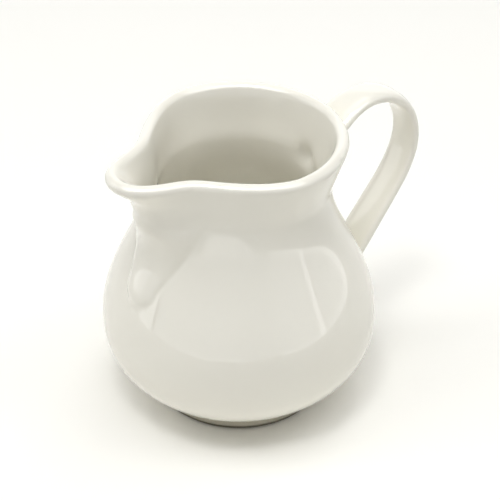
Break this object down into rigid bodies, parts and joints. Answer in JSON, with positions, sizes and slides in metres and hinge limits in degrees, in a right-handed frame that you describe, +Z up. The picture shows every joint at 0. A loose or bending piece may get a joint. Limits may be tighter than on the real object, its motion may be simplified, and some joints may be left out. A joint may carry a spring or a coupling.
{
  "type": "ceramic pitcher",
  "caption": "Pear-shaped glazed porcelain pitcher with a rounded lip, a beak-shaped pouring spout that runs down onto the belly, a strap handle and a bare foot ring.",
  "frame": {"origin": "on the body's axis at the table plane, in the middle of the foot ring's underside", "axes": "+Z up along the body's axis, +X towards the handle, so the spout points along -X, and the object is symmetric about the XZ plane"},
  "size_m": [0.1241, 0.094, 0.1],
  "materials": {
    "glaze": "warm white, glossy",
    "bisque": "bare, unglazed"
  },
  "bodies": {
    "root": {"body": "glaze", "spout": "glaze", "foot_ring": "bisque", "handle": "glaze", "handle_upper_joint": "glaze", "handle_lower_joint": "glaze"}
  },
  "joints": []
}
